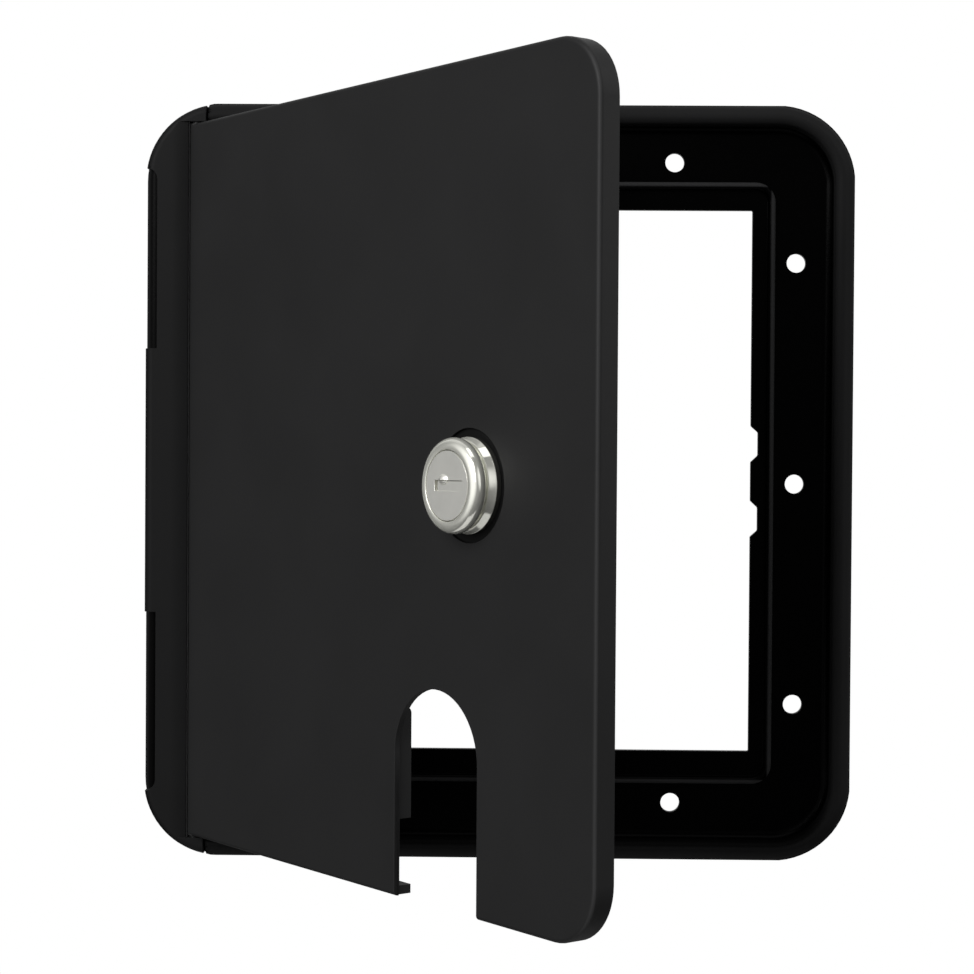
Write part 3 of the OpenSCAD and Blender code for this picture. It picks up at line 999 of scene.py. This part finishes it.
def close_crease(mesh):
    """Makes the strip's fall toward the door slight, and leans its wall there toward the door's back."""
    shape = bmesh.new()
    shape.from_mesh(mesh)

    def on_wall(point):
        return abs(point.x - STRIP_EDGE) < NEAR and abs(point.z - HATCH_MIDDLE) < STRIP_HALF

    for level, _ in WALL_LEAN:
        walls = [face for face in shape.faces if all(on_wall(v.co) for v in face.verts)]
        parts = {part for face in walls for part in (*face.verts, *face.edges)}
        at = Vector((0.0, level * MM, 0.0))
        bmesh.ops.bisect_plane(shape, geom=[*parts, *walls], dist=NEAR, plane_co=at, plane_no=INWARD)
    shape.to_mesh(mesh)
    shape.free()

    def on_fall(point):
        beside = FALL_START < point.x < STRIP_EDGE + NEAR and abs(point.z - HATCH_MIDDLE) < STRIP_HALF
        return beside and point.y < FACE_LEVEL + FALL_DEPTH

    def lifted(point):
        return Vector((point.x, FACE_LEVEL + (point.y - FACE_LEVEL) * FALL_SHARE, point.z))

    shift_where(mesh, on_fall, lifted)
    for level, lean in WALL_LEAN:
        step = Vector((lean * MM, 0.0, 0.0))
        shift_where(mesh, lambda p: on_wall(p) and abs(p.y - level * MM) < NEAR, lambda p: p + step)


def in_slit(point):
    """Whether a point lies in the slit beside the end of the strip's seat, at the top or the bottom."""
    beside = SLIT_LEFT - NEAR < point.x < SLIT_LEFT + SLIT_WIDTH + NEAR
    return beside and abs(point.z - HATCH_MIDDLE) > SLIT_FOOT


def close_slit(mesh):
    """Brings the far wall of the flange's thin slit to the near one."""

    def moved(point):
        return Vector((SLIT_LEFT + (point.x - SLIT_LEFT) * SLIT_SHARE, point.y, point.z))

    shift_where(mesh, lambda p: in_slit(p) and p.y > SLIT_FRONT, moved)


# Studio

CAMERA_AT = Vector((6.0942, -549.1463, 88.5081)) * MM
CAMERA_YAW = 0.0161
CAMERA_PITCH = -0.016
CAMERA_ROLL = 0.0066
LIGHTS_AIM = Vector((0.0, -0.03, 0.081))
# Soft glows of the room: the direction that each comes from, the cosine at its edge, its strength
GLOWS = (
    ((-0.8, -0.6, 0.25), 0.5, 1.1),
    ((0.0, 0.6, 0.8), 0.5, 0.5),
    ((0.0, 1.0, 0.1), 0.5, 0.4),
    ((0.0, -1.0, 0.2), 0.5, 0.1),
    ((1.0, 0.0, 0.3), 0.5, 0.35),
    ((0.6, -0.8, 0.3), 0.85, 0.85),
)
# Soft lights: name, place, width and height, and the setting with the power
BOXES = (
    ("left_box", (-0.5, -0.75, 0.5), (0.6, 0.6), "left_power"),
    ("right_box", (0.9, -0.2, 0.5), (0.35, 0.9), "right_power"),
    ("top_box", (0.1, -0.25, 0.95), (0.9, 0.4), "top_power"),
)
WHITE = (1.0, 1.0, 1.0, 1.0)
FLOOR_STEPS = 24
FLOOR_ROUGH = 0.7
# Where the floor starts to melt into the white, and where it has, as shares of its half width
FLOOR_FADE = (0.35, 0.95)


def camera_axes():
    """Right, up and forward of the camera from its yaw, pitch and roll."""
    cy, sy = math.cos(CAMERA_YAW), math.sin(CAMERA_YAW)
    cp, sp = math.cos(CAMERA_PITCH), math.sin(CAMERA_PITCH)
    cr, sr = math.cos(CAMERA_ROLL), math.sin(CAMERA_ROLL)
    forward = Vector((-sy * cp, cy * cp, sp))
    up = Vector((sy * sp, -cy * sp, cp))
    right = Vector((cy, sy, 0.0))
    return right * cr + up * sr, up * cr - right * sr, forward


def place_camera(scene, lens):
    """Camera at the photograph's viewing angle."""
    data = bpy.data.cameras.new("photo_camera")
    data.sensor_width = 36.0
    data.lens = lens
    data.clip_start, data.clip_end = 0.01, 20.0
    camera = bpy.data.objects.new("photo_camera", data)
    scene.collection.objects.link(camera)
    right, up, forward = camera_axes()
    turn = Matrix((right, up, -forward)).transposed().to_4x4()
    camera.matrix_world = Matrix.Translation(CAMERA_AT) @ turn
    scene.camera = camera


def soft_light(name, at, size, power):
    """A rectangular soft light that looks at the hatch's middle."""
    data = bpy.data.lights.new(name, "AREA")
    data.shape = "RECTANGLE"
    data.size, data.size_y = size
    data.energy = power
    light = bpy.data.objects.new(name, data)
    bpy.context.scene.collection.objects.link(light)
    light.location = Vector(at)
    light.rotation_mode = "QUATERNION"
    light.rotation_quaternion = (LIGHTS_AIM - Vector(at)).to_track_quat("-Z", "Y")


def pale_room(scene):
    """World that is white to the camera and lights the hatch with soft glows."""
    world = bpy.data.worlds.new("pale_room")
    scene.world = world
    world.use_nodes = True
    tree = world.node_tree
    tree.nodes.clear()
    out = add_node(tree, "ShaderNodeOutputWorld")
    path = add_node(tree, "ShaderNodeLightPath")
    direction = add_node(tree, "ShaderNodeTexCoord").outputs["Generated"]
    total = 0.0
    for source, edge, strength in GLOWS:
        near = along(tree, direction, Vector(source).normalized())
        total = joined(tree, "ADD", ramp(tree, near, edge, 1.0, 0.0, strength), total)
    room = add_node(tree, "ShaderNodeBackground", in_Color=WHITE)
    tree.links.new(total, room.inputs["Strength"])
    white = add_node(tree, "ShaderNodeBackground", in_Color=WHITE, in_Strength=1.0)
    mixed(tree, path.outputs["Is Camera Ray"], room.outputs[0], white.outputs[0], out.inputs[0])


def floor_finish(stage):
    """Plain pale finish that melts into the white at the floor's rim."""
    material, tree, shader, place = new_material("pale_floor")
    cloud = noise(tree, place, in_Scale=6.0, in_Detail=3.0, in_Roughness=0.5)
    colour = tinted(tree, tuple(stage.floor_colour), spread(tree, cloud, 1.0, FLOOR_TONE))
    tree.links.new(colour, shader.inputs["Base Color"])
    shader.inputs["Roughness"].default_value = FLOOR_ROUGH
    marks = [share * stage.floor_half for share in FLOOR_FADE]
    fade = ramp(tree, reach_from_axis(tree, place), *marks)
    path = add_node(tree, "ShaderNodeLightPath")
    seen = product(tree, fade, path.outputs["Is Camera Ray"])
    white = add_node(tree, "ShaderNodeEmission", in_Color=WHITE, in_Strength=1.0)
    surface = tree.nodes["Material Output"].inputs["Surface"]
    mixed(tree, seen, shader.outputs[0], white.outputs[0], surface)
    return material


def pale_floor(stage):
    """Plain pale floor well below the hatch."""
    shape = bmesh.new()
    bmesh.ops.create_grid(shape, x_segments=FLOOR_STEPS, y_segments=FLOOR_STEPS, size=stage.floor_half)
    mesh = plain_mesh("pale_floor", shape)
    mesh.transform(Matrix.Translation((0.0, 0.0, -stage.floor_drop)))
    mesh.materials.append(floor_finish(stage))
    floor = link_piece("pale_floor", mesh)


# Operators


class HATCH_OT_frame(bpy.types.Operator):
    """Makes the moulded wall frame."""

    bl_idname = "hatch.frame"
    bl_label = "Wall frame"

    def execute(self, context):
        finish, sizes = context.scene.hatch_finish, context.scene.hatch_sizes
        plastic = frame_plastic(finish)
        piece = eased("frame", "moulded_frame", sizes.frame_edge, adjust=close_slit, plain=in_slit)
        finish_piece(piece, "wall_frame", "frame_plastic", plastic, "frame")
        return {"FINISHED"}


class HATCH_OT_door(bpy.types.Operator):
    """Makes the moulded door and the hinge strip."""

    bl_idname = "hatch.door"
    bl_label = "Door and strip"

    def execute(self, context):
        finish, sizes = context.scene.hatch_finish, context.scene.hatch_sizes
        plastic = door_plastic(finish, "door_plastic", leaf_tone, finish.door_gloss)
        door = eased("door_panel", "moulded_door", sizes.door_edge)
        finish_piece(door, "door", "door_plastic", plastic, "door_panel")
        strip = eased("hinge_strip", "moulded_strip", sizes.door_edge, adjust=close_crease)
        strip_plastic = door_plastic(finish, "strip_plastic", strip_tone, finish.strip_gloss)
        finish_piece(strip, "wall_frame", "door_plastic", strip_plastic, "hinge_strip")
        return {"FINISHED"}


class HATCH_OT_lock(bpy.types.Operator):
    """Makes the cam lock's ring, plug, barrel, nut, cam and screw."""

    bl_idname = "hatch.lock"
    bl_label = "Cam lock"

    def execute(self, context):
        finish, sizes = context.scene.hatch_finish, context.scene.hatch_sizes
        bright = plated_metal(
            "bright_bezel", finish.bezel_colour, rough=0.10, tone=0.02, wear_scale=500.0,
            metallic=0.7, shade=foot_shade)
        finish_piece(bezel(sizes.turned_steps), "door", "bright_metal", bright, "lock_bezel")
        satin = turned_satin("satin_plug", finish.plug_colour, rough=0.36, metallic=0.8)
        plug = eased("lock_plug", "turning_plug", sizes.lock_edge, adjust=widen_nib)
        finish_piece(plug, "lock", "satin_metal", satin, "lock_plug")
        shutter = eased("keyway_shutter", "key_shutter", sizes.lock_edge * SHUTTER_SHARE, adjust=widen_nib)
        finish_piece(shutter, "lock", "satin_metal", satin, "keyway_shutter")
        zinc = plated_metal("zinc_plate", finish.zinc_colour, rough=0.3, tone=0.05, wear_scale=900.0)
        finish_piece(threaded_barrel(sizes, zinc), "door", "zinc_metal", zinc, "lock_body")
        finish_piece(hex_nut(), "door", "zinc_metal", zinc, "lock_nut")
        cam = eased("lock_cam", "stamped_cam", sizes.cam_edge)
        finish_piece(cam, "lock", "zinc_metal", zinc, "lock_cam")
        finish_piece(cam_fastener(), "lock", "zinc_metal", zinc, "cam_screw")
        return {"FINISHED"}


class HATCH_OT_stage(bpy.types.Operator):
    """Builds the floor, the pale room, the soft lights and the camera."""

    bl_idname = "hatch.stage"
    bl_label = "Studio"

    def execute(self, context):
        scene = context.scene
        stage = scene.hatch_stage
        scene.view_settings.view_transform = "Standard"
        place_camera(scene, stage.lens)
        pale_room(scene)
        pale_floor(stage)
        for name, at, size, power in BOXES:
            soft_light(name, at, size, getattr(stage, power))
        return {"FINISHED"}


class HATCH_PT_panel(bpy.types.Panel):
    """Lists the hatch's pieces and the studio."""

    bl_idname = "HATCH_PT_panel"
    bl_label = "Cord Hatch"
    bl_space_type = "VIEW_3D"
    bl_region_type = "UI"
    bl_category = "Cord Hatch"

    def draw(self, context):
        for operator in STEPS:
            self.layout.operator(operator)


STEPS = ("hatch.frame", "hatch.door", "hatch.lock", "hatch.stage")
GROUPS = (("hatch_sizes", HatchSizes), ("hatch_finish", HatchFinish), ("hatch_stage", HatchStage))
CLASSES = (
    HatchSizes, HatchFinish, HatchStage, HATCH_OT_frame, HATCH_OT_door,
    HATCH_OT_lock, HATCH_OT_stage, HATCH_PT_panel,
)


def register():
    for made in CLASSES:
        bpy.utils.register_class(made)
    for name, group in GROUPS:
        setattr(bpy.types.Scene, name, PointerProperty(type=group))


def unregister():
    for name, group in GROUPS:
        delattr(bpy.types.Scene, name)
    for made in reversed(CLASSES):
        bpy.utils.unregister_class(made)


def main():
    register()
    for step in STEPS:
        group, name = step.split(".")
        getattr(getattr(bpy.ops, group), name)()


if __name__ == "__main__":
    main()
